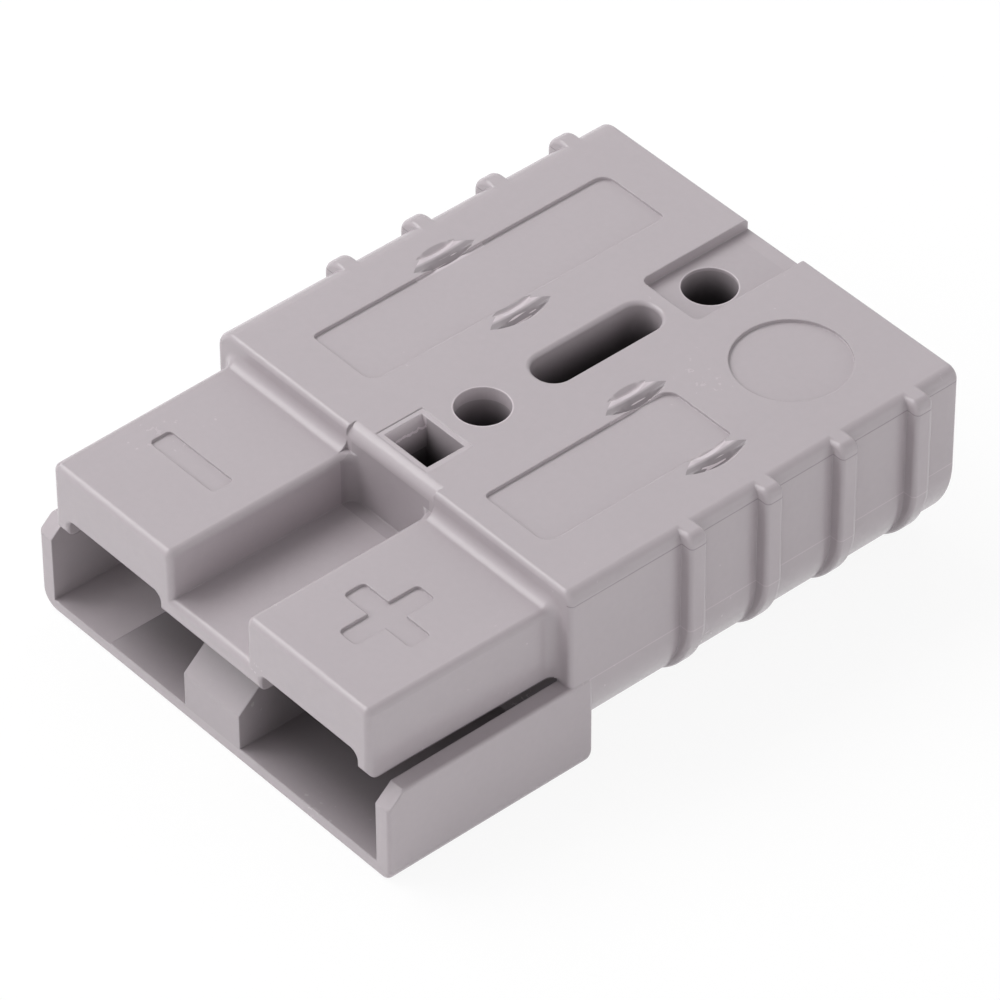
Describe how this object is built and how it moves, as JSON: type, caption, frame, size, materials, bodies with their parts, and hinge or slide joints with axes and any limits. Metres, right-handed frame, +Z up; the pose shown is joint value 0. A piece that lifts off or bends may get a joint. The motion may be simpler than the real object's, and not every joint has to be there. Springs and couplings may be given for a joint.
{
  "type": "genderless power connector",
  "caption": "Flat rectangular two-pole power connector that mates with a copy of itself turned over, with hooded blade contacts, ribbed sides and round cable entries.",
  "frame": {"origin": "middle of the footprint, on the surface that the connector lies on", "axes": "+X across the two poles from minus to plus, +Y from the mating face to the cable end, +Z up"},
  "size_m": [0.0364, 0.048, 0.015],
  "materials": {
    "housing_plastic": "satin moulded light grey",
    "plated_copper": "silver plated",
    "spring_steel": "plain rolled strip"
  },
  "bodies": {
    "root": {"housing": "housing_plastic", "contact_minus": "plated_copper", "contact_plus": "plated_copper", "spring_minus": "spring_steel", "spring_plus": "spring_steel"}
  },
  "joints": []
}
